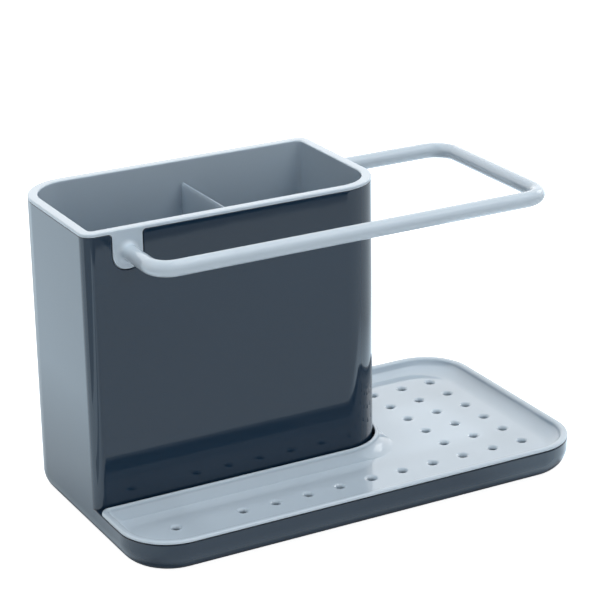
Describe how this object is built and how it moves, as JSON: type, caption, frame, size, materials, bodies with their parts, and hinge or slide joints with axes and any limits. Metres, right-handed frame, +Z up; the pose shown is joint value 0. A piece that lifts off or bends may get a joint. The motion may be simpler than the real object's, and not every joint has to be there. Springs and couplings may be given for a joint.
{
  "type": "kitchen sink caddy",
  "caption": "Kitchen sink caddy: a tall rounded bin with a lift-out liner, divider and cloth rail, beside a dished L-shaped drip tray over a water reservoir.",
  "frame": {"origin": "centre of the base's footprint, on the surface that the feet stand on", "axes": "+X along the base towards the open end of the drip tray, +Y to the rear, +Z up"},
  "size_m": [0.205, 0.115, 0.1295],
  "materials": {
    "dark_plastic": "glossy moulded ABS, dark slate blue",
    "pale_plastic": "satin to glossy moulded polypropylene, pale blue grey",
    "foot_rubber": "matt dark rubber pad"
  },
  "bodies": {
    "base": {"body": "dark_plastic", "foot_front_left": "foot_rubber", "foot_front_right": "foot_rubber", "foot_rear_left": "foot_rubber", "foot_rear_right": "foot_rubber"},
    "liner": {"liner": "pale_plastic"},
    "divider": {"divider": "pale_plastic"},
    "tray": {"drip_tray": "pale_plastic"}
  },
  "joints": [
    {"name": "liner_lift", "type": "slide", "parent": "base", "child": "liner", "axis": [0, 0, 1], "range_m": [0, 0.12]},
    {"name": "divider_lift", "type": "slide", "parent": "liner", "child": "divider", "axis": [0, 0, 1], "range_m": [0, 0.118]},
    {"name": "tray_lift", "type": "slide", "parent": "base", "child": "tray", "axis": [0, 0, 1], "range_m": [0, 0.06]}
  ]
}
